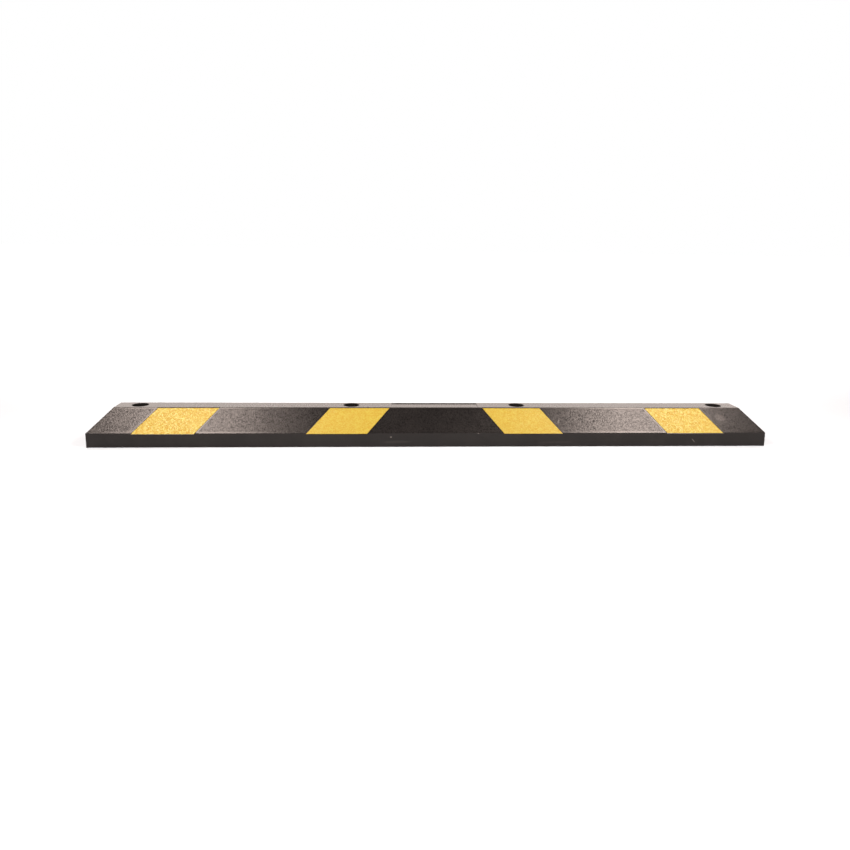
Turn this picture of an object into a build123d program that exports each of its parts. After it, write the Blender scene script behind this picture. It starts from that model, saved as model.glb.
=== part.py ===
"""Parking wheel stop: a moulded rubber block with eight reflective inlays.

Millimetres.  +X runs along the block, +Y towards its back, +Z up.  The origin is on the
ground, under the middle of the block.
"""
import math
import os

from build123d import *

# Outside of the block
LENGTH = 1830.0
WIDTH = 152.0
HEIGHT = 98.0
BAND_HEIGHT = 38.0
BAND_DRAFT = 0.8
TOP_WIDTH = 58.0
END_SLOPE_RUN = 62.0
TOP_ARRIS_RADIUS = 2.4
ARRIS_RADIUS = 1.2
FOOT_RADIUS = 1.5

# Anchor holes, on the centre line, from the top down
HOLE_X_OUTER = 792.0
HOLE_X_INNER = 228.0
COUNTERBORE_RADIUS = 21.5
COUNTERBORE_DEPTH = 50.0
ANCHOR_RADIUS = 10.0
MOUTH_RADIUS = 0.6

# Blank name-plate recess in the top
PLATE_LENGTH = 236.0
PLATE_WIDTH = 42.0
PLATE_DEPTH = 1.3
PLATE_CORNER = 3.0

# Recesses for the inlays, in the front and back slopes
RECESS_DEPTH = 1.6
RECESS_LIP = 1.6

# Stippled fields between the recesses, sunk a little below their smooth borders
FIELD_DEPTH = 0.4
FIELD_BORDER = 5.0
PLATE_FIELD_DEPTH = 0.5

# Inlays.  Each is cut and laid by hand, so they differ by a millimetre or two.  Each of an
# inlay's slanted sides is given by its distance from the middle of the block, half-way up
# the slope, by its lean towards the middle for each millimetre up the slope, and by the gap
# between it and the recess wall.  Last is how much the lower edge stops short.
INLAY_THICKNESS = 0.7
INLAY_TOP_GAP = 0.2
INLAYS = {
    "left_end": {"outer": (766.9, 0.818, 0.5), "inner": (606.6, 0.795, 1.5), "short": 0.0},
    "left_middle": {"outer": (313.8, 0.821, 1.4), "inner": (153.7, 0.797, 1.2), "short": 0.0},
    "right_middle": {"outer": (314.7, 0.768, 0.9), "inner": (156.2, 0.740, 1.6), "short": 0.0},
    "right_end": {"outer": (764.6, 0.758, 0.7), "inner": (608.8, 0.727, 2.2), "short": 1.0},
}

# Cored underside: two rows of pockets between the solid bosses round the holes
BOSS_HALF = 41.0
RIB = 18.0
SPINE = 16.0
WALL = 19.0
POCKET_DEPTH = 62.0
POCKET_DRAFT = 3.0
LONGEST_POCKET = 115.0
POCKET_CORNER = 4.0

# Faces of the slopes, worked out from the outside
BAND_Y = WIDTH / 2 - BAND_DRAFT
SLOPE_RUN = BAND_Y - TOP_WIDTH / 2
SLOPE_RISE = HEIGHT - BAND_HEIGHT
SLOPE_LENGTH = math.hypot(SLOPE_RUN, SLOPE_RISE)
OVERSHOOT = 12.0

HOLES_X = (-HOLE_X_OUTER, -HOLE_X_INNER, HOLE_X_INNER, HOLE_X_OUTER)


def crossed_prism(end_view, side_view):
    """The solid with this outline seen along X (y, z points) and this one along Y (x, z points)."""
    end_face = make_face(Plane.YZ * Polyline(*end_view, close=True))
    side_face = make_face(Plane.XZ * Polyline(*side_view, close=True))
    return extrude(end_face, amount=LENGTH, both=True) & extrude(side_face, amount=WIDTH, both=True)


def tapered_outline(half_foot, half_band, half_top):
    """Half sizes at the ground, at the top of the band and at the top, as a closed outline."""
    return [
        (-half_foot, 0),
        (half_foot, 0),
        (half_band, BAND_HEIGHT),
        (half_top, HEIGHT),
        (-half_top, HEIGHT),
        (-half_band, BAND_HEIGHT),
    ]


def outer_block():
    """Upright band, sloped faces on all four sides and a flat top, with rounded arrises."""
    half_band_length = LENGTH / 2 - BAND_DRAFT
    across = tapered_outline(WIDTH / 2, BAND_Y, TOP_WIDTH / 2)
    along = tapered_outline(LENGTH / 2, half_band_length, half_band_length - END_SLOPE_RUN)
    block = crossed_prism(across, along)
    block = fillet(block.edges().group_by(Axis.Z)[-1], TOP_ARRIS_RADIUS)
    sharp = [edge for edge in block.edges() if 0 < edge.center().Z < HEIGHT - TOP_ARRIS_RADIUS]
    block = fillet([edge for edge in sharp if edge.geom_type == GeomType.LINE], ARRIS_RADIUS)
    return fillet(block.edges().group_by(Axis.Z)[0], FOOT_RADIUS)


def anchor_hole(x):
    """Counterbore for the washer and head, over a plain hole for the anchor."""
    counterbore_z = HEIGHT - COUNTERBORE_DEPTH
    wide = Pos(x, 0, counterbore_z) * extrude(Circle(COUNTERBORE_RADIUS), amount=COUNTERBORE_DEPTH + OVERSHOOT)
    narrow = Pos(x, 0, -OVERSHOOT) * extrude(Circle(ANCHOR_RADIUS), amount=HEIGHT)
    return wide + narrow


def plate_recess():
    """Shallow blank recess in the middle of the top."""
    outline = RectangleRounded(PLATE_LENGTH, PLATE_WIDTH, PLATE_CORNER)
    return Pos(0, 0, HEIGHT - PLATE_DEPTH) * extrude(outline, amount=PLATE_DEPTH + OVERSHOOT)


def pocket(x, length, side):
    """Tapered pocket, open at the ground, on one side of the central spine."""
    wall_lean = SLOPE_RUN / SLOPE_RISE
    outer_foot = WIDTH / 2 - WALL
    outer_top = BAND_Y - WALL - (POCKET_DEPTH - BAND_HEIGHT) * wall_lean
    inner_foot = SPINE / 2
    end_view = [
        (side * inner_foot, 0),
        (side * outer_foot, 0),
        (side * outer_foot, BAND_HEIGHT / 2),
        (side * outer_top, POCKET_DEPTH),
        (side * (inner_foot + POCKET_DRAFT), POCKET_DEPTH),
    ]
    side_view = [
        (x - length / 2, 0),
        (x + length / 2, 0),
        (x + length / 2 - POCKET_DRAFT, POCKET_DEPTH),
        (x - length / 2 + POCKET_DRAFT, POCKET_DEPTH),
    ]
    block = crossed_prism(end_view, side_view)
    upright = [edge for edge in block.edges() if edge.bounding_box().size.Z > BAND_HEIGHT / 4]
    return fillet(upright, POCKET_CORNER)


def pockets():
    """Every pocket: each span between two bosses is split evenly by ribs."""
    tools = []
    for left_hole, right_hole in zip(HOLES_X, HOLES_X[1:]):
        start = left_hole + BOSS_HALF
        span = right_hole - BOSS_HALF - start
        count = math.ceil((span + RIB) / (LONGEST_POCKET + RIB))
        length = (span - (count - 1) * RIB) / count
        for index in range(count):
            middle = start + length / 2 + index * (length + RIB)
            tools += [pocket(middle, length, side) for side in (-1, 1)]
    return tools


def slope_plane(front):
    """Plane of the front or back slope: x along the block, y up the slope, z outwards."""
    if front:
        return Plane(origin=(0, -BAND_Y, BAND_HEIGHT), x_dir=(1, 0, 0), z_dir=(0, -SLOPE_RISE, SLOPE_RUN))
    return Plane(origin=(0, BAND_Y, BAND_HEIGHT), x_dir=(-1, 0, 0), z_dir=(0, SLOPE_RISE, SLOPE_RUN))


def slanted(low, high, left, right):
    """Four-sided outline on a slope.  LEFT and RIGHT are sides: (x half-way up, lean)."""
    corners = []
    for height, sides in ((low, (left, right)), (high, (right, left))):
        for middle, lean in sides:
            corners.append((middle + (height - SLOPE_LENGTH / 2) * lean, height))
    return make_face(Polyline(*corners, close=True))


def sides_of(place, with_gap):
    """Left and right side of an inlay, or of its recess.  Both lean towards the middle."""
    sides = []
    for key, away in (("outer", 1), ("inner", -1)):
        distance, lean, gap = INLAYS[place][key]
        sides.append((distance + away * gap * with_gap, -lean))
    if place.startswith("left"):
        return [(-distance, -lean) for distance, lean in sides]
    return sides[::-1]


def sunk(front, outline, depth):
    """Cutter for a flat recess in a slope."""
    return slope_plane(front).offset(-depth) * extrude(outline, amount=depth + OVERSHOOT)


def inlay_recess(front, place):
    """Recess that is open at the band and stops at a narrow lip under the top arris."""
    left, right = sides_of(place, with_gap=True)
    return sunk(front, slanted(-OVERSHOOT, SLOPE_LENGTH - RECESS_LIP, left, right), RECESS_DEPTH)


def fields(front):
    """Sunk fields between one recess and the next, and between the end recesses and the hips."""
    hip_middle = LENGTH / 2 - BAND_DRAFT - END_SLOPE_RUN / 2
    hip_lean = END_SLOPE_RUN / SLOPE_LENGTH
    bounds = [(-hip_middle, hip_lean)]
    for place in INLAYS:
        bounds += sides_of(place, with_gap=True)
    bounds.append((hip_middle, -hip_lean))
    low, high = FIELD_BORDER, SLOPE_LENGTH - FIELD_BORDER
    tools = []
    for (left_x, left_lean), (right_x, right_lean) in zip(bounds[::2], bounds[1::2]):
        left = (left_x + FIELD_BORDER, left_lean)
        right = (right_x - FIELD_BORDER, right_lean)
        tools.append(sunk(front, slanted(low, high, left, right), FIELD_DEPTH))
    return tools


def plate_field(front):
    """Slightly deeper rectangle in the middle field, in line with the name-plate recess."""
    sides = (-PLATE_LENGTH / 2, 0.0), (PLATE_LENGTH / 2, 0.0)
    outline = slanted(FIELD_BORDER, SLOPE_LENGTH - FIELD_BORDER, *sides)
    return sunk(front, outline, PLATE_FIELD_DEPTH)


def inlay(front, place):
    """Flat reflective strip on the recess floor.  Its lower edge is flush with the band."""
    face_offset = RECESS_DEPTH - INLAY_THICKNESS
    low = INLAYS[place]["short"] - face_offset * SLOPE_RISE / SLOPE_RUN
    high = SLOPE_LENGTH - RECESS_LIP - INLAY_TOP_GAP
    left, right = sides_of(place, with_gap=False)
    floor = slope_plane(front).offset(-RECESS_DEPTH)
    return floor * extrude(slanted(low, high, left, right), amount=INLAY_THICKNESS)


body = outer_block() - plate_recess()
body -= [anchor_hole(x) for x in HOLES_X]
mouths = [
    edge
    for edge in body.edges().filter_by(GeomType.CIRCLE)
    if abs(edge.radius - COUNTERBORE_RADIUS) < 0.01 and edge.center().Z > HEIGHT - 1
]
body = fillet(mouths, MOUTH_RADIUS)
body -= pockets()

# Left and right are as seen from the front for the front inlays, and from behind for the back
nodes = {}
for face_name, front in (("front", True), ("back", False)):
    body -= fields(front)
    body -= plate_field(front)
    for place in INLAYS:
        body -= inlay_recess(front, place)
        nodes[f"inlay_{face_name}_{place}"] = inlay(front, place)
nodes["rubber_body"] = body

os.makedirs("parts", exist_ok=True)
for name, shape in nodes.items():
    solids = shape.solids()
    shape = solids[0] if len(solids) == 1 else Compound(solids)
    shape.label = name
    export_step(shape, f"parts/{name}.step")
    print(name, len(solids), "solid", round(shape.volume / 1000), "cm3", shape.is_valid)
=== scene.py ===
import math

import bmesh
import bpy
from mathutils import Matrix, Vector, noise


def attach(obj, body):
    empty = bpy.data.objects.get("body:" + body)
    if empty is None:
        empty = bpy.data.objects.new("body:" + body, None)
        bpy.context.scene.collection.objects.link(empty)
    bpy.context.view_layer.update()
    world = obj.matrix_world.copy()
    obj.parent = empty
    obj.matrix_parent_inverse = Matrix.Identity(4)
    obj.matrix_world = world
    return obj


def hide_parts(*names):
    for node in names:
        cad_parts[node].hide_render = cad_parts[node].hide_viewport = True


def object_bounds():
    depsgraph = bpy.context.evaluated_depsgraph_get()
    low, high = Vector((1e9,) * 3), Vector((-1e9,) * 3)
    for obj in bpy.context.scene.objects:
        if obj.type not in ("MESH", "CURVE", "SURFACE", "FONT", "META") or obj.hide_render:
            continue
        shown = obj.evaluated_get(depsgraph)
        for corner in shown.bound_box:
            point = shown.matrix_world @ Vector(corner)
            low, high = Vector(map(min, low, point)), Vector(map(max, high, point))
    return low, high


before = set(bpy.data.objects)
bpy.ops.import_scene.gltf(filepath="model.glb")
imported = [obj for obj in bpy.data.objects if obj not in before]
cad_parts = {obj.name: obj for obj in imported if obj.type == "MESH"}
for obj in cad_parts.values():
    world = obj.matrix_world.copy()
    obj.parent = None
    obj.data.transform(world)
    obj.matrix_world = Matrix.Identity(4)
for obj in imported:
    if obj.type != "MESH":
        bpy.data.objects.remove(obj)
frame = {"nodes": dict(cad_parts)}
cad_low, cad_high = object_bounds()
MM = 0.001

# Camera, from the ground under the middle of the block.  Angles in radians, lens in millimetres.
CAMERA_PLACE = Vector((-0.160, -1.922, 0.543))
CAMERA_YAW = 0.0700
CAMERA_PITCH = 0.2549
CAMERA_ROLL = 0.0169
CAMERA_LENS = 30.355
CAMERA_SENSOR = 36

# Softboxes: middle, point they face, width and height, radiance
WARM_LIGHT = (1.0, 0.905, 0.855)
SOFTBOXES = {
    "softbox_front_left": ((-1.08, -0.85, 1.5), (-0.5, 0, 0), (0.60, 0.5), 42.5),
    "softbox_front_right": ((1.165, -0.85, 1.5), (0.6, 0, 0), (0.47, 0.5), 54.5),
    "softbox_back_left": ((-1.15, 0.85, 1.5), (-0.5, 0, 0), (0.8, 0.5), 10.0),
    "softbox_back_right": ((1.15, 0.85, 1.5), (0.5, 0, 0), (0.8, 0.5), 10.0),
}

# Studio walls: radiance of each, and the directions (sine of the angle) between which they change
WARM_WALLS = (1.0, 0.88, 0.82)
WALL_BEHIND = 2.0
WALL_IN_FRONT = 0.35
CEILING = 0.03
WALL_TURN = (-0.35, 0.35)
WALL_TOP = (0.35, 0.62)

# Floor: its paint changes from the middle to the ends, and it glows away from the block
FLOOR_SIZE = 60
FLOOR_DROP = 0.2 * MM
PAINT_MIDDLE = (0.67, 0.725, 0.77)
PAINT_ENDS = (0.56, 0.60, 0.635)
PAINT_SPAN = (0.2, 1.0)
GLOW_LEAST = 0.03
GLOW_MORE = 0.9
GLOW_SPAN_ACROSS = (0.12, 1.6)
GLOW_SPAN_ALONG = (1.2, 3.0)


def make_camera():
    data = bpy.data.cameras.new("camera")
    data.lens = CAMERA_LENS
    data.sensor_width = CAMERA_SENSOR
    camera = bpy.data.objects.new("camera", data)
    bpy.context.scene.collection.objects.link(camera)
    turn = Matrix.Rotation(-CAMERA_YAW, 4, "Z")
    tilt = Matrix.Rotation(math.pi / 2 - CAMERA_PITCH, 4, "X")
    roll = Matrix.Rotation(CAMERA_ROLL, 4, "Z")
    camera.matrix_world = Matrix.Translation(CAMERA_PLACE) @ turn @ tilt @ roll
    bpy.context.scene.camera = camera


class Graph:
    """Short names for the nodes that the materials and the world are made of."""

    def __init__(self, owner):
        owner.use_nodes = True
        self.nodes = owner.node_tree.nodes
        self.links = owner.node_tree.links

    def put(self, node, index, value):
        if isinstance(value, bpy.types.NodeSocket):
            self.links.new(value, node.inputs[index])
        else:
            node.inputs[index].default_value = value

    def node(self, kind, inputs, **settings):
        node = self.nodes.new(kind)
        for name, value in settings.items():
            setattr(node, name, value)
        for index, value in inputs.items():
            self.put(node, index, value)
        return node

    def math(self, operation, *values):
        node = self.node("ShaderNodeMath", dict(enumerate(values)), operation=operation)
        return node.outputs[0]

    def add(self, first, *others):
        for other in others:
            first = self.math("ADD", first, other)
        return first

    def sub(self, a, b):
        return self.math("SUBTRACT", a, b)

    def mul(self, first, *others):
        for other in others:
            first = self.math("MULTIPLY", first, other)
        return first

    def span(self, value, start, end, low=0.0, high=1.0):
        """Smooth step of VALUE: LOW before START, HIGH after END."""
        inputs = {"Value": value, "From Min": start, "From Max": end, "To Min": low, "To Max": high}
        node = self.node("ShaderNodeMapRange", inputs, interpolation_type="SMOOTHSTEP")
        return node.outputs["Result"]

    def place(self):
        return self.node("ShaderNodeTexCoord", {}).outputs["Object"]

    def split(self, vector):
        return self.node("ShaderNodeSeparateXYZ", {0: vector}).outputs[:3]

    def stretch(self, vector, scale):
        inputs = {0: vector, 1: scale}
        return self.node("ShaderNodeVectorMath", inputs, operation="MULTIPLY").outputs[0]

    def noise(self, vector, scale, detail=2.0, rough=0.5):
        inputs = {"Vector": vector, "Scale": scale, "Detail": detail, "Roughness": rough}
        return self.node("ShaderNodeTexNoise", inputs).outputs["Fac"]

    def cell_edges(self, vector, scale):
        inputs = {"Vector": vector, "Scale": scale}
        node = self.node("ShaderNodeTexVoronoi", inputs, feature="DISTANCE_TO_EDGE")
        return node.outputs["Distance"]

    def cell_values(self, vector, scale):
        """One random value from 0 to 1 for each cell."""
        node = self.node("ShaderNodeTexVoronoi", {"Vector": vector, "Scale": scale})
        return self.split(node.outputs["Color"])[0]

    def mix(self, factor, a, b):
        inputs = {"Factor": factor, 6: a, 7: b}
        return self.node("ShaderNodeMix", inputs, data_type="RGBA").outputs[2]

    def blend(self, factor, a, b):
        inputs = {0: factor, 2: a, 3: b}
        return self.node("ShaderNodeMix", inputs, data_type="FLOAT").outputs[0]

    def blend_vectors(self, factor, a, b):
        inputs = {0: factor, 4: a, 5: b}
        return self.node("ShaderNodeMix", inputs, data_type="VECTOR").outputs[1]

    def bump(self, height, distance):
        inputs = {"Height": height, "Distance": distance, "Strength": 1.0}
        return self.node("ShaderNodeBump", inputs).outputs[0]


def rgb(red, green, blue):
    return (red, green, blue, 1.0)


def area_light(name, place, target, size, radiance):
    data = bpy.data.lights.new(name, "AREA")
    data.shape = "RECTANGLE"
    data.size, data.size_y = size
    data.color = WARM_LIGHT
    data.energy = radiance * math.pi * size[0] * size[1]
    lamp = bpy.data.objects.new(name, data)
    bpy.context.scene.collection.objects.link(lamp)
    lamp.location = place
    lamp.rotation_euler = (Vector(target) - Vector(place)).to_track_quat("-Z", "Y").to_euler()


def make_world():
    """Bright wall behind the block, dim one in front, dark ceiling.  The camera itself sees white."""
    world = bpy.data.worlds.new("studio")
    bpy.context.scene.world = world
    g = Graph(world)
    across, up = g.split(g.node("ShaderNodeTexCoord", {}).outputs["Generated"])[1:]
    wall = g.span(across, *WALL_TURN, WALL_IN_FRONT, WALL_BEHIND)
    strength = g.blend(g.span(up, *WALL_TOP), wall, CEILING)
    seen = g.node("ShaderNodeLightPath", {}).outputs["Is Camera Ray"]
    lit = g.nodes["Background"]
    lit.inputs["Color"].default_value = rgb(*WARM_WALLS)
    g.put(lit, "Strength", strength)
    white = g.node("ShaderNodeBackground", {"Color": rgb(1, 1, 1), "Strength": 1.0})
    both = g.node("ShaderNodeMixShader", {0: seen, 1: lit.outputs[0], 2: white.outputs[0]})
    g.put(g.nodes["World Output"], "Surface", both.outputs[0])


def make_floor():
    """White sweep.  Away from the softboxes it is lit from below, so it stays white."""
    bpy.ops.mesh.primitive_plane_add(size=FLOOR_SIZE, location=(0, 0, -FLOOR_DROP))
    floor = bpy.context.object
    floor.name = "floor"
    material = bpy.data.materials.new("floor")
    g = Graph(material)
    shader = g.nodes["Principled BSDF"]
    shader.inputs["Roughness"].default_value = 0.9
    shader.inputs["Specular IOR Level"].default_value = 0.0
    shader.inputs["Emission Color"].default_value = rgb(1, 1, 1)
    x, y, _ = g.split(g.place())
    along, across = g.math("ABSOLUTE", x), g.math("ABSOLUTE", y)
    paint = g.mix(g.span(along, *PAINT_SPAN), rgb(*PAINT_MIDDLE), rgb(*PAINT_ENDS))
    g.put(shader, "Base Color", paint)
    glow = g.math("MAXIMUM", g.span(across, *GLOW_SPAN_ACROSS), g.span(along, *GLOW_SPAN_ALONG))
    g.put(shader, "Emission Strength", g.add(GLOW_LEAST, g.mul(glow, GLOW_MORE)))
    floor.data.materials.append(material)


def make_studio():
    bpy.context.scene.view_settings.view_transform = "Standard"
    make_world()
    for name, (place, target, size, radiance) in SOFTBOXES.items():
        area_light(name, place, target, size, radiance)
    make_floor()


class Shape:
    """Sizes of the block, in metres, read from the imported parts."""

    def __init__(self, nodes):
        body = nodes["rubber_body"].data
        low_edge, high_edge = outer_face(nodes["inlay_front_left_middle"])
        along = low_edge[1] - low_edge[0]
        normal = along.cross(high_edge[0] - low_edge[0]).normalized()
        self.normal_y, self.normal_z = abs(normal.y), normal.z
        self.reach = max(v.co.y * normal.y + v.co.z * normal.z for v in body.vertices)
        self.height = cad_high.z
        self.half_length = cad_high.x
        self.band_y = abs(low_edge[0].y)
        self.band_top = (self.reach - self.normal_y * self.band_y) / self.normal_z
        self.top_y = (self.reach - self.normal_z * self.height) / self.normal_y


def outer_face(node):
    """Corners of an inlay's visible face: its lower edge and its upper edge, each in +X order."""
    corners = {tuple(round(value, 6) for value in v.co) for v in node.data.vertices}
    corners = sorted((Vector(corner) for corner in corners), key=lambda corner: corner.z)
    edges = []
    for end in (corners[:4], corners[4:]):
        outer = sorted(end, key=lambda corner: abs(corner.y))[2:]
        edges.append(sorted(outer, key=lambda corner: corner.x))
    return edges


def smooth_step(value, start, end):
    share = min(max((value - start) / (end - start), 0.0), 1.0)
    return share * share * (3 - 2 * share)


def ripple(place, length, seed=0.0):
    """Noise from 0 to 1 whose lumps are about LENGTH across."""
    return 0.5 + 0.5 * noise.noise(place / length + Vector((seed, 7.3 * seed, -3.1 * seed)))


def make_piece(name, bm, sharp_angle, material):
    """Smooth-shaded object of the mesh, with sharp edges where it turns by more than the angle."""
    for face in bm.faces:
        face.smooth = True
    mesh = bpy.data.meshes.new(name)
    bm.to_mesh(mesh)
    bm.free()
    if mesh.has_custom_normals:  # left over from the CAD surface, and wrong on its cut faces
        mesh.attributes.remove(mesh.attributes["custom_normal"])
    mesh.set_sharp_from_angle(angle=sharp_angle)
    mesh.materials.append(material)
    piece = bpy.data.objects.new(name, mesh)
    bpy.context.scene.collection.objects.link(piece)
    return piece


# Block: spacing of the cuts that make its mesh fine enough for relief
CUT_X = 3.6 * MM
CUT_Y = 3.6 * MM
CUT_Z_SLOPE = 2.6 * MM
CUT_Z_BAND = 6.3 * MM
CUT_MARGIN = 0.01 * MM
ARRIS_REACH = 2.2 * MM
WELD = 0.001 * MM
FLAT_ANGLE = math.radians(0.3)
BLOCK_SHARP_ANGLE = math.radians(28)

# Block: which faces are outer ones, by the parts of their normals and by their depth from the top,
# the bands, the long slopes and the ends
LEVEL_NORMAL = 0.95
END_NORMAL = 0.5
UNDERSIDE_NORMAL = -0.2
TOP_LAYER = 3 * MM
BAND_LAYER = 3 * MM
SLOPE_LAYER = 4 * MM
END_LAYER = 68 * MM
END_SLOPE_REACH = 66 * MM

# Block: height and lump size of the moulded surface's unevenness, and the levels of the sunk fields
WAVE, WAVE_LENGTH = 0.22 * MM, 170 * MM
LUMP, LUMP_LENGTH = 0.10 * MM, 36 * MM
STIPPLE, STIPPLE_LENGTH = 0.12 * MM, 8 * MM
FIELD_FROM, FIELD_TO = 0.25 * MM, 1.2 * MM
FOOT_FROM, FOOT_TO = 0.5 * MM, 5 * MM


def depth_below_slope(shape, place):
    return shape.reach - shape.normal_y * abs(place.y) - shape.normal_z * place.z


def body_relief(shape, place):
    """How far the moulded surface lies inside the ideal one: waves, lumps, stipple in the fields."""
    depth = depth_below_slope(shape, place)
    relief = WAVE * ripple(place, WAVE_LENGTH) + LUMP * ripple(place, LUMP_LENGTH, 1.0)
    on_slope = place.z > shape.band_top and abs(place.y) > shape.top_y
    if on_slope and depth > FIELD_TO:
        return 0.0
    if on_slope and depth > FIELD_FROM:
        relief += STIPPLE * ripple(place, STIPPLE_LENGTH, 2.0)
    return relief * smooth_step(place.z, FOOT_FROM, FOOT_TO)


def is_outer(shape, face):
    """True for a face of the slopes, ends, bands, top and arrises.  False in holes and underneath."""
    middle = face.calc_center_median()
    if face.normal.z < UNDERSIDE_NORMAL:
        return False
    return (
        middle.z > shape.height - TOP_LAYER
        or abs(middle.y) > shape.band_y - BAND_LAYER
        or depth_below_slope(shape, middle) < SLOPE_LAYER
        or (abs(middle.x) > shape.half_length - END_LAYER and abs(face.normal.x) > END_NORMAL)
    )


def cut_by_planes(bm, faces, axis, places):
    """Cuts the faces at each plane in turn, in rising order.  Returns the faces that they became."""
    normal = Vector([float(index == axis) for index in range(3)])
    done, ahead = [], list(faces)
    for place in places:
        crossed, beyond = [], []
        for face in ahead:
            values = [vertex.co[axis] for vertex in face.verts]
            if max(values) < place + CUT_MARGIN:
                done.append(face)
            elif min(values) > place - CUT_MARGIN:
                beyond.append(face)
            else:
                crossed.append(face)
        if crossed:
            parts = set(crossed)
            for face in crossed:
                parts.update(face.edges)
                parts.update(face.verts)
            cut = bmesh.ops.bisect_plane(
                bm, geom=list(parts), dist=CUT_MARGIN, plane_co=normal * place, plane_no=normal
            )
            beyond += [item for item in cut["geom"] if isinstance(item, bmesh.types.BMFace)]
        ahead = beyond
    return done + ahead


def even_places(start, end, step):
    """Places from START to END, about STEP apart, both ends included."""
    count = max(1, round((end - start) / step))
    return [start + (end - start) * index / count for index in range(count + 1)]


def cut_outer_faces(bm, shape):
    """Cuts all outer faces along X, then the top and the ends along Y, then all but the top along Z."""
    outer = [face for face in bm.faces if is_outer(shape, face)]
    outer = cut_by_planes(bm, outer, 0, even_places(-shape.half_length, shape.half_length, CUT_X))

    level = [
        face for face in outer
        if face.normal.z > LEVEL_NORMAL or abs(face.normal.x) > END_NORMAL
    ]
    top_side = shape.top_y - ARRIS_REACH
    side_places = even_places(-shape.band_y, -top_side, CUT_Y)[:-1]
    side_places += even_places(-top_side, top_side, CUT_Y)
    side_places += even_places(top_side, shape.band_y, CUT_Y)[1:]
    cut_by_planes(bm, level, 1, side_places)

    steep = [face for face in bm.faces if is_outer(shape, face) and face.normal.z < LEVEL_NORMAL]
    rises = even_places(0.0, shape.band_top - ARRIS_REACH, CUT_Z_BAND)[1:]
    rises += even_places(shape.band_top + ARRIS_REACH, shape.height - ARRIS_REACH, CUT_Z_SLOPE)
    cut_by_planes(bm, steep, 2, rises)


def sink_direction(shape, vertex):
    """The slope's own normal inside the long slopes, the vertex's normal elsewhere."""
    place = vertex.co
    between_ends = abs(place.x) < shape.half_length - END_SLOPE_REACH
    above_band = place.z > shape.band_top + ARRIS_REACH
    below_top = abs(place.y) > shape.top_y + ARRIS_REACH
    if between_ends and above_band and below_top:
        return Vector((0, math.copysign(shape.normal_y, place.y), shape.normal_z))
    return vertex.normal


def make_block(shape, cad, material):
    """The rubber body: the CAD surface cut fine, with the unevenness of moulded rubber."""
    bm = bmesh.new()
    bm.from_mesh(cad.data)
    bmesh.ops.remove_doubles(bm, verts=bm.verts, dist=WELD)
    bmesh.ops.dissolve_limit(bm, angle_limit=FLAT_ANGLE, verts=bm.verts, edges=bm.edges)
    bm.normal_update()
    cut_outer_faces(bm, shape)
    bm.normal_update()
    outer = {vertex for face in bm.faces if is_outer(shape, face) for vertex in face.verts}
    for vertex in outer:
        vertex.co -= sink_direction(shape, vertex) * body_relief(shape, vertex.co)
    bmesh.ops.triangulate(bm, faces=[face for face in bm.faces if len(face.verts) > 4])
    block = make_piece("block", bm, BLOCK_SHARP_ANGLE, material)
    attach(block, "root")
    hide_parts(cad.name)


# Inlays: reflective sheeting on the slanted recess floors
SHEET_CELL = 1.5 * MM
SHEET_EDGE_CUTS = (0.0, 0.4 * MM, 0.9 * MM)
SHEET_THICKNESS = 0.7 * MM
SHEET_SHARP_ANGLE = math.radians(40)
SHEET_RIM, RIM_BLEND = 4.5 * MM, 0.8 * MM
RIM_STEP = 0.10 * MM
RIM_GROOVE, GROOVE_INSET, GROOVE_REACH = 0.08 * MM, 0.6 * MM, 1.2 * MM
EDGE_ROUND, EDGE_REACH = 0.15 * MM, 0.9 * MM
SHEET_WAVE, SHEET_WAVE_LENGTH = 0.06 * MM, 30 * MM
SHEET_PEEL, SHEET_PEEL_LENGTH = 0.10 * MM, 4.0 * MM
RIM_PEEL_SHARE = 0.25


def sheet_relief(place, rim):
    """Depth of the sheet's surface under its highest level.  RIM is the distance to the nearest edge."""
    inner = smooth_step(rim, SHEET_RIM - RIM_BLEND, SHEET_RIM + RIM_BLEND)
    groove = 1 - smooth_step(abs(rim - SHEET_RIM - GROOVE_INSET), 0, GROOVE_REACH)
    edge = 1 - smooth_step(rim, 0, EDGE_REACH)
    peel = ripple(place, SHEET_PEEL_LENGTH) * (RIM_PEEL_SHARE + (1 - RIM_PEEL_SHARE) * inner)
    wave = ripple(place, SHEET_WAVE_LENGTH, 3.0)
    pressed = EDGE_ROUND * edge + RIM_STEP * inner + RIM_GROOVE * groove
    return pressed + SHEET_PEEL * peel + SHEET_WAVE * wave


def steps(length):
    """Positions across a side, from 0 to 1: close together at both edges, even between them."""
    near = list(SHEET_EDGE_CUTS)
    middle = length - 2 * near[-1]
    count = math.ceil(middle / SHEET_CELL)
    inner = [near[-1] + middle * k / count for k in range(1, count)]
    far = [length - value for value in reversed(near)]
    return [value / length for value in near + inner + far]


def add_sheet_back(bm, low_corner, outward):
    """Side walls down from the rim, and a flat back."""
    rim_edges = [edge for edge in bm.edges if edge.is_boundary]
    walls = bmesh.ops.extrude_edge_only(bm, edges=rim_edges)["geom"]
    level = low_corner.dot(outward) - SHEET_THICKNESS
    for vertex in walls:
        if isinstance(vertex, bmesh.types.BMVert):
            vertex.co += outward * (level - vertex.co.dot(outward))
    back_edges = [item for item in walls if isinstance(item, bmesh.types.BMEdge) and item.is_boundary]
    bmesh.ops.contextual_create(bm, geom=back_edges)
    bmesh.ops.recalc_face_normals(bm, faces=bm.faces)


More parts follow.
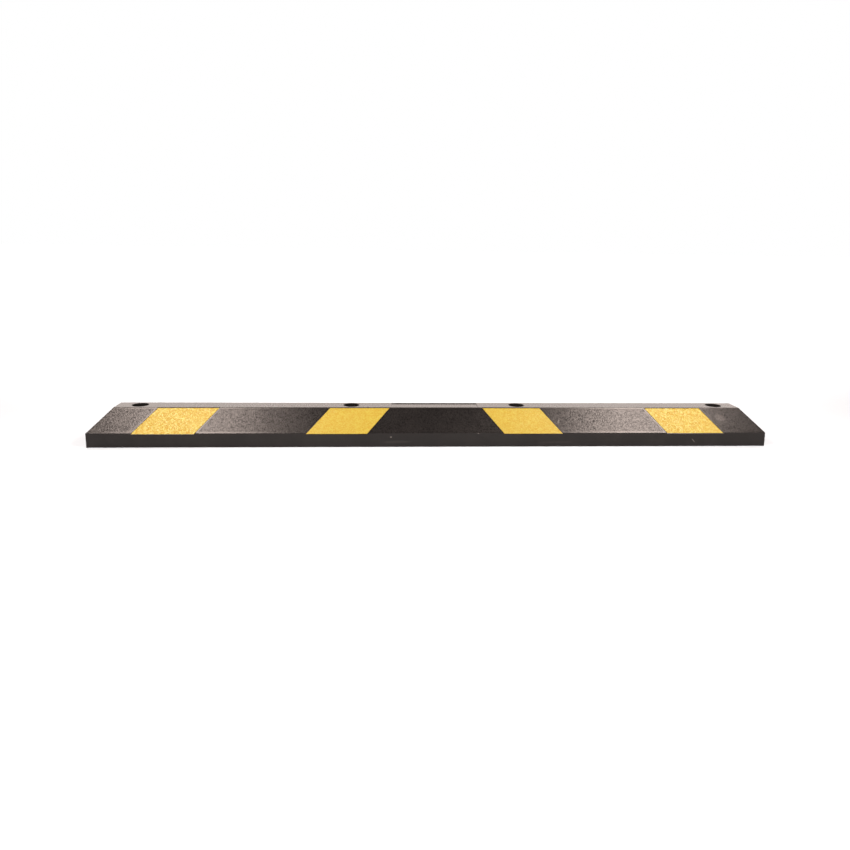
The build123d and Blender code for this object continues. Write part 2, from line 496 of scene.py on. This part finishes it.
def make_sheet(cad, material):
    """One reflective strip, with a pressed rim, an orange-peel face and a flat back."""
    (low_left, low_right), (high_left, high_right) = outer_face(cad)
    along = (low_right - low_left).normalized()
    across = high_left - low_left
    outward = along.cross(across).normalized()
    if outward.z < 0:
        outward.negate()
    width = (low_right - low_left).length
    lean_left = across.normalized()
    lean_right = (high_right - low_right).normalized()
    rise = (across - along * across.dot(along)).length
    bm = bmesh.new()
    rows = []
    for v in steps(rise):
        row = []
        for u in steps(width):
            left = low_left.lerp(high_left, v)
            right = low_right.lerp(high_right, v)
            place = left.lerp(right, u)
            rim = min(
                (place - left).cross(lean_left).length,
                (right - place).cross(lean_right).length,
                rise * v,
                rise * (1 - v),
            )
            row.append(bm.verts.new(place - outward * sheet_relief(place, rim)))
        rows.append(row)
    for below, above in zip(rows, rows[1:]):
        for corners in zip(below, below[1:], above[1:], above):
            bm.faces.new(corners)
    add_sheet_back(bm, low_left, outward)
    sheet = make_piece(cad.name.replace("inlay", "sheet"), bm, SHEET_SHARP_ANGLE, material)
    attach(sheet, "root")
    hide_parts(cad.name)


# Marks on the front: x and z of the middle, half length, half height, lean (x for each z), strength
DUST_MARKS = [
    (-0.803, 0.0425, 0.012, 0.0045, 0.9, 1.0),
    (-0.797, 0.0500, 0.005, 0.0090, 0.8, 0.9),
    (0.336, 0.0640, 0.003, 0.0080, 0.2, 0.5),
    (0.792, 0.0740, 0.018, 0.0110, -0.6, 0.4),
]
BAND_MARKS = [
    (-0.121, 0.0273, 0.0030, 0.0022, 0.0, 1.0),
    (0.114, 0.0372, 0.0030, 0.0016, 0.0, 1.0),
    (-0.105, 0.0140, 0.0480, 0.0050, 2.0, 0.08),
    (0.711, 0.0160, 0.0014, 0.0065, -0.94, 0.8),
    (0.330, 0.0120, 0.0600, 0.0035, 3.0, 0.05),
]
DARK_SPECKS = [
    (-0.533, 0.066, 0.0030, 0.0030, 0.0, 1.0),
    (-0.462, 0.065, 0.0030, 0.0030, 0.0, 1.0),
    (0.434, 0.066, 0.0030, 0.0030, 0.0, 1.0),
]
MARK_CORE = 0.45

# Rubber: colours, among them the painted shade of the recesses, the tint of its reflections in pits
# (darkened there as painted shade) and on crests, roughness and index of refraction
RUBBER_BLACK = rgb(0.0096, 0.0086, 0.0084)
RUBBER_DUST = rgb(0.30, 0.262, 0.238)
RECESS_PAINTED_SHADE = rgb(0.006, 0.0055, 0.005)
SHEEN_SHADED_IN_PITS = rgb(0.26, 0.237, 0.224)
SHEEN_ON_CRESTS = rgb(1.0, 0.91, 0.86)
SMOOTH_SHEEN = 0.75
RUBBER_ROUGH = 0.270
RECESS_ROUGH = 0.85
RUBBER_IOR = 1.36


def mark(g, x, z, spec):
    """Soft-edged slanted ellipse on a face, from 0 to the mark's strength."""
    middle_x, middle_z, half_x, half_z, lean, strength = spec
    dz = g.sub(z, middle_z)
    dx = g.sub(g.sub(x, middle_x), g.mul(dz, lean))
    dx, dz = g.mul(dx, 1 / half_x), g.mul(dz, 1 / half_z)
    away = g.math("SQRT", g.add(g.mul(dx, dx), g.mul(dz, dz)))
    return g.span(away, MARK_CORE, 1.0, strength, 0.0)


def strongest_mark(g, x, z, specs):
    result = 0.0
    for spec in specs:
        result = g.math("MAXIMUM", result, mark(g, x, z, spec))
    return result


def block_masks(g, shape, y, z):
    """Masks for the sunk fields, the recesses, the band and the top."""
    side = g.math("ABSOLUTE", y)
    below_slope = g.add(g.mul(side, shape.normal_y), g.mul(z, shape.normal_z))
    depth = g.sub(shape.reach, below_slope)
    above_band = g.span(z, shape.band_top + 1.5 * MM, shape.band_top + 2.5 * MM)
    below_top = g.span(side, shape.top_y + 1.0 * MM, shape.top_y + 2.0 * MM)
    inside_band = g.span(side, shape.band_y - 1.2 * MM, shape.band_y - 0.8 * MM, 1.0, 0.0)
    sunk = g.mul(g.span(depth, 0.33 * MM, 0.40 * MM), g.span(depth, 1.2 * MM, 1.6 * MM, 1.0, 0.0))
    field = g.mul(sunk, above_band, below_top)
    # The recess mask also takes in the ends' outer parts, so the painted shade of the recesses falls
    # there too.
    recess = g.mul(g.span(depth, 1.0 * MM, 1.4 * MM), below_top, inside_band)
    band = g.span(z, shape.band_top - 1.5 * MM, shape.band_top, 1.0, 0.0)
    top = g.span(z, shape.height - 3.0 * MM, shape.height - 2.4 * MM)
    return field, recess, band, top


def rubber_material(shape):
    """Moulded black rubber: stippled fields between smooth borders, dust, scuffs and drag lines, with
    painted shade in the recesses and in the pits' reflections.
    """
    material = bpy.data.materials.new("moulded_rubber")
    g = Graph(material)
    shader = g.nodes["Principled BSDF"]
    place = g.place()
    x, y, z = g.split(place)
    field, recess, band, top = block_masks(g, shape, y, z)
    front = g.span(y, -4 * MM, 0.0, 1.0, 0.0)

    patches = g.noise(place, 14.0, 3.0, 0.6)
    mottle = g.noise(place, 130.0, 2.0, 0.65)
    dimples = g.noise(g.stretch(place, (1.0, 0.75, 0.75)), 330.0, 1.0, 0.5)
    grain = g.noise(place, 420.0, 2.0, 0.6)
    streaks = g.noise(g.stretch(place, (6.0, 330.0, 330.0)), 1.0, 2.0, 0.5)

    worn = g.span(grain, 0.35, 0.6, 0.3, 1.0)
    smears = g.mul(strongest_mark(g, x, z, DUST_MARKS), front, worn)
    scuffs = g.mul(strongest_mark(g, x, z, BAND_MARKS), front, band)
    dark = g.mul(strongest_mark(g, x, z, DARK_SPECKS), front, field)

    dust = g.add(
        g.mul(g.span(patches, 0.35, 0.75), 0.014),
        0.004,
        g.mul(g.span(dimples, 0.55, 0.75), field, 0.010),
        g.mul(top, streaks, 0.05),
        g.mul(smears, 0.45),
        g.mul(scuffs, 0.55),
    )
    colour = g.mix(dust, RUBBER_BLACK, RUBBER_DUST)
    # Painted shade: the recesses, and the ends' outer parts that the recess mask also takes in, get a
    # darker colour than the rubber.
    g.put(shader, "Base Color", g.mix(recess, colour, RECESS_PAINTED_SHADE))

    pitted = g.add(g.mul(g.sub(mottle, 0.5), 0.5), g.sub(dimples, 0.5))
    rough = g.add(
        g.mul(field, 0.020),
        RUBBER_ROUGH,
        g.mul(pitted, g.blend(field, 0.05, 0.10)),
        g.mul(g.sub(patches, 0.5), 0.05),
        g.mul(band, 0.04),
        g.mul(smears, 0.15),
        g.mul(dark, 0.25),
    )
    g.put(shader, "Roughness", g.blend(recess, rough, RECESS_ROUGH))
    shader.inputs["IOR"].default_value = RUBBER_IOR
    # Painted shade: the reflections are tinted darker in the stipple's pits than on its crests; the
    # smooth borders get one even tint.
    crests = g.add(g.mul(g.span(dimples, 0.38, 0.62), 0.7), g.mul(g.span(mottle, 0.36, 0.64), 0.3))
    sheen_and_pit_shade = g.blend(field, SMOOTH_SHEEN, crests)
    g.put(shader, "Specular Tint", g.mix(sheen_and_pit_shade, SHEEN_SHADED_IN_PITS, SHEEN_ON_CRESTS))

    smooth_height = g.add(g.mul(grain, 0.10), g.mul(top, streaks, 0.15))
    field_height = g.add(g.mul(mottle, 0.3), g.mul(dimples, 0.5), g.mul(grain, 0.2))
    smooth_normal = g.bump(smooth_height, 0.60 * MM)
    field_normal = g.bump(field_height, 0.40 * MM)
    g.put(shader, "Normal", g.blend_vectors(field, smooth_normal, field_normal))
    return material


# Sheeting: colours of the crests, the pits and the worn patches, and how strong its speckle is
# on the middle strips and on the end strips; the end strips' stronger speckle is painted glint
SHEETING_LIGHT = rgb(0.460, 0.405, 0.062)
SHEETING_DEEP = rgb(0.370, 0.180, 0.002)
SHEETING_WORN = rgb(0.44, 0.29, 0.018)
SPECKLE_MIDDLE, SPECKLE_END_PAINTED_GLINT = 0.7, 1.15
SPECKLE_CHANGE = (0.40, 0.50)
SHEETING_IOR = 1.34


def sheeting_material():
    """Yellow glass-bead sheeting: fine sparkle, an irregular orange net and uneven wear, with painted
    glint in the end strips' stronger speckle.
    """
    material = bpy.data.materials.new("reflective_sheeting")
    g = Graph(material)
    shader = g.nodes["Principled BSDF"]
    place = g.place()
    beads = g.noise(place, 520.0, 2.0, 0.7)
    net = g.cell_edges(place, 260.0)
    clump = g.cell_values(place, 340.0)
    patches = g.noise(place, 25.0, 3.0, 0.6)
    deep = g.add(
        g.mul(g.span(net, 0.02, 0.22, 1.0, 0.0), 0.15),
        g.mul(g.span(beads, 0.35, 0.65, 1.0, 0.0), 0.25),
        g.mul(clump, 0.60),
    )
    # Painted glint: the colour speckle is made stronger on the end strips, where the softboxes'
    # highlights fall.
    sideways = g.math("ABSOLUTE", g.split(place)[0])
    speckle_and_glint = g.span(sideways, *SPECKLE_CHANGE, SPECKLE_MIDDLE, SPECKLE_END_PAINTED_GLINT)
    deep = g.add(0.5, g.mul(g.sub(deep, 0.5), speckle_and_glint))
    colour = g.mix(deep, SHEETING_LIGHT, SHEETING_DEEP)
    g.put(shader, "Base Color", g.mix(g.mul(patches, 0.12), colour, SHEETING_WORN))
    g.put(shader, "Roughness", g.add(g.mul(beads, 0.10), g.mul(clump, 0.22), 0.26))
    shader.inputs["IOR"].default_value = SHEETING_IOR
    height = g.add(g.mul(beads, 0.4), g.mul(g.span(net, 0.0, 0.3), 0.3), g.mul(clump, 0.3))
    g.put(shader, "Normal", g.bump(height, 0.45 * MM))
    return material


make_camera()
make_studio()
shape = Shape(frame["nodes"])
rubber = rubber_material(shape)
sheeting = sheeting_material()
for name, node in frame["nodes"].items():
    if name == "rubber_body":
        make_block(shape, node, rubber)
    else:
        make_sheet(node, sheeting)
